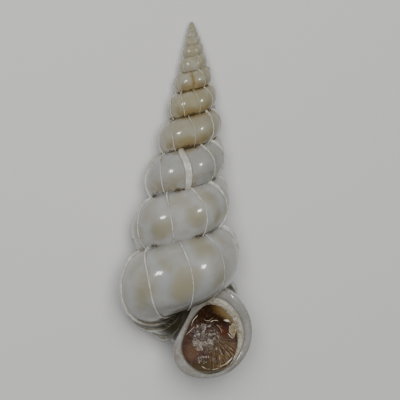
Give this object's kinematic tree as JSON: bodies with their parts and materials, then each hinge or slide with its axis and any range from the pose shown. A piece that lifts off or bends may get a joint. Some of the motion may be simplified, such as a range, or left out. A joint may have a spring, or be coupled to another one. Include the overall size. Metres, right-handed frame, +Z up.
{
  "type": "wentletrap shell",
  "caption": "Tall spiral sea shell of round whorls crossed by thin ribs, with a thick round lip and a dried horny lid in its mouth, lying on its back.",
  "frame": {"origin": "on the surface the shell lies on, under the middle of its bounding box", "axes": "+Z up; +Y along the shell towards its tip; +X to the right as one looks down on the mouth side with the tip away"},
  "size_m": [0.0142, 0.0374, 0.0129],
  "materials": {
    "shell_lime": "glossy, faintly see-through off-white lime shell with pale tan clouds",
    "dry_horn": "dry dark brown horn with golden fibres and a pale crust"
  },
  "bodies": {
    "root": {"shell": "shell_lime", "operculum": "dry_horn"}
  },
  "joints": []
}
